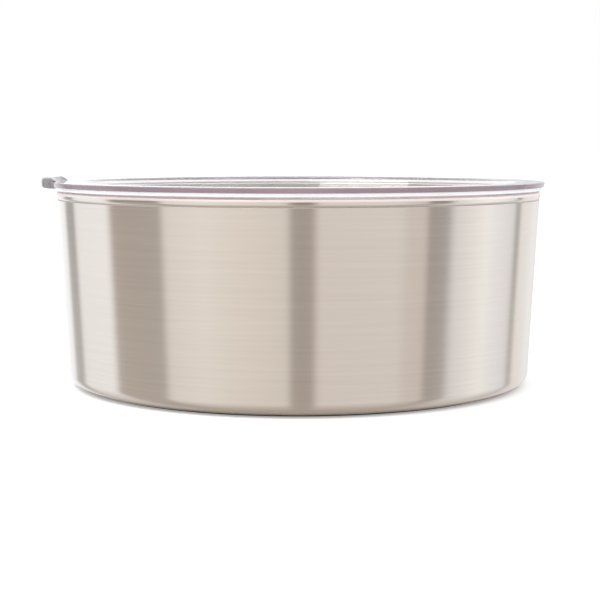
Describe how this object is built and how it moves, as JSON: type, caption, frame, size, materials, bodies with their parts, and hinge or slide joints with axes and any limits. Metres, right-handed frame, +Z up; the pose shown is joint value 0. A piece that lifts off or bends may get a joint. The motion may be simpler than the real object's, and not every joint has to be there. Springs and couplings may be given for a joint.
{
  "type": "no-spill dog bowl",
  "caption": "Round brushed steel water bowl with a clear lift-off lid; the lid's funnel dish and deep drinking hole keep the water in when the bowl tips.",
  "frame": {"origin": "on the bowl's axis, at the surface that the foot ring stands on", "axes": "+Z up along the bowl's axis; the lid's lift tab is on the -X side; the picture looks along +Y"},
  "size_m": [0.2219, 0.216, 0.0906],
  "materials": {
    "steel": "brushed round the body, brighter on the rolled rim",
    "foot_rubber": "matt moulded rubber",
    "clear_lid": "clear moulded plastic, faintly tinted at its edge",
    "seal_silicone": "soft translucent silicone"
  },
  "bodies": {
    "bowl": {"bowl_shell": "steel", "foot_ring": "foot_rubber"},
    "lid": {"lid": "clear_lid", "lid_seal": "seal_silicone"}
  },
  "joints": [
    {"name": "lid_lift", "type": "slide", "parent": "bowl", "child": "lid", "axis": [0, 0, 1], "range_m": [0, 0.1]}
  ]
}
